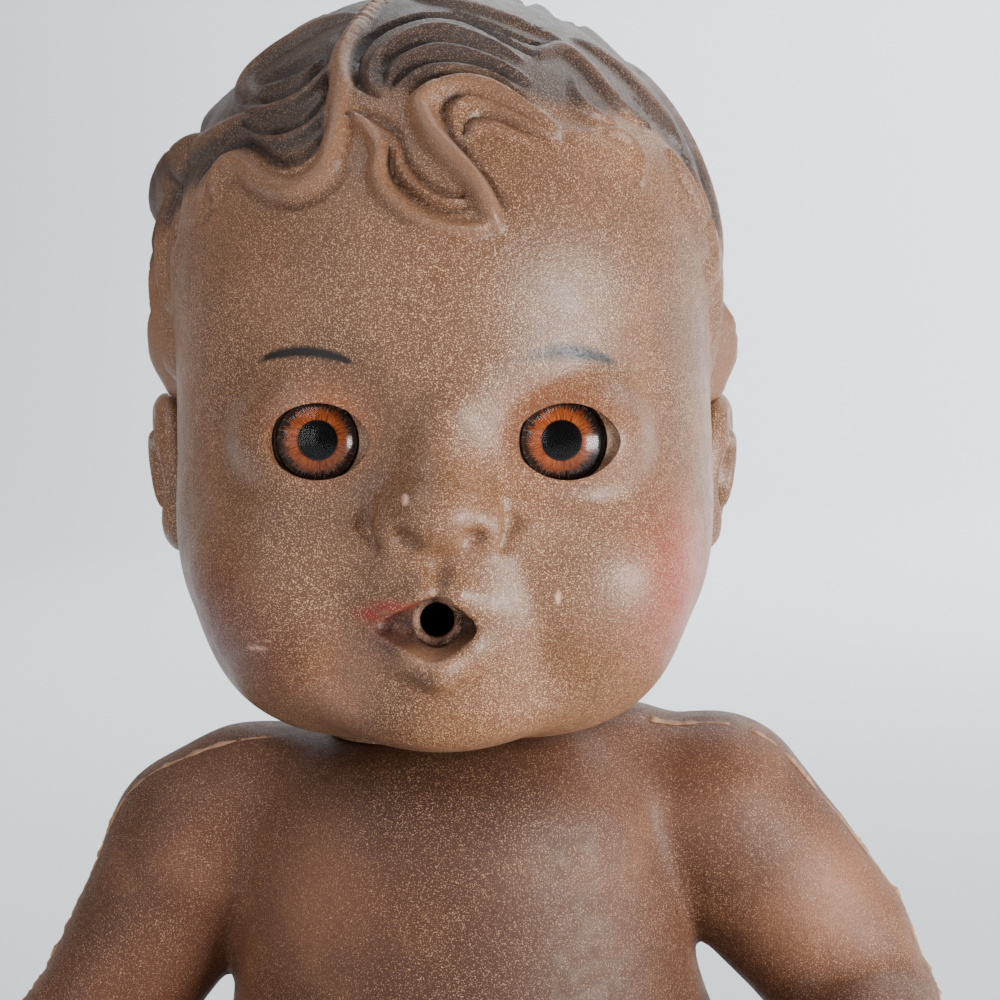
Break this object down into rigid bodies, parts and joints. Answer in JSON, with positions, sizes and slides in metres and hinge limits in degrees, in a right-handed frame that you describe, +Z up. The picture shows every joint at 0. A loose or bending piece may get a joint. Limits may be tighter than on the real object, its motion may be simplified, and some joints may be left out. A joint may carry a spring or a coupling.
{
  "type": "rubber baby doll",
  "caption": "Hollow moulded rubber baby doll, sitting, with wavy moulded hair, inset amber eyes, an open drinking mouth and a head that turns on a flanged neck.",
  "frame": {"origin": "middle of the flat seat", "axes": "+Z up along the neck, the doll faces -Y, its left side is +X"},
  "size_m": [0.15, 0.1826, 0.2201],
  "materials": {
    "brown_rubber": "aged satin with pale flecks",
    "pale_rubber": "satin",
    "clear_acetate": "polished",
    "amber_print": "printed streaks",
    "black_acetate": "polished",
    "tinned_steel": "dull tin",
    "brass": "dull"
  },
  "bodies": {
    "body": {"body_shell": "brown_rubber", "whistle_cup": "tinned_steel", "whistle_reed": "brass", "whistle_cap": "tinned_steel", "drain_eyelet": "brass"},
    "head": {"head_shell": "brown_rubber", "left_eye_cup": "black_acetate", "right_eye_cup": "black_acetate", "left_iris": "amber_print", "right_iris": "amber_print", "left_pupil": "black_acetate", "right_pupil": "black_acetate", "left_eye_lens": "clear_acetate", "right_eye_lens": "clear_acetate", "drinking_tube": "pale_rubber"}
  },
  "joints": [
    {"name": "head_turn", "type": "hinge", "parent": "body", "child": "head", "pos_m": [0, 0, 0.104], "axis": [0, 0, 1], "continuous": true}
  ]
}
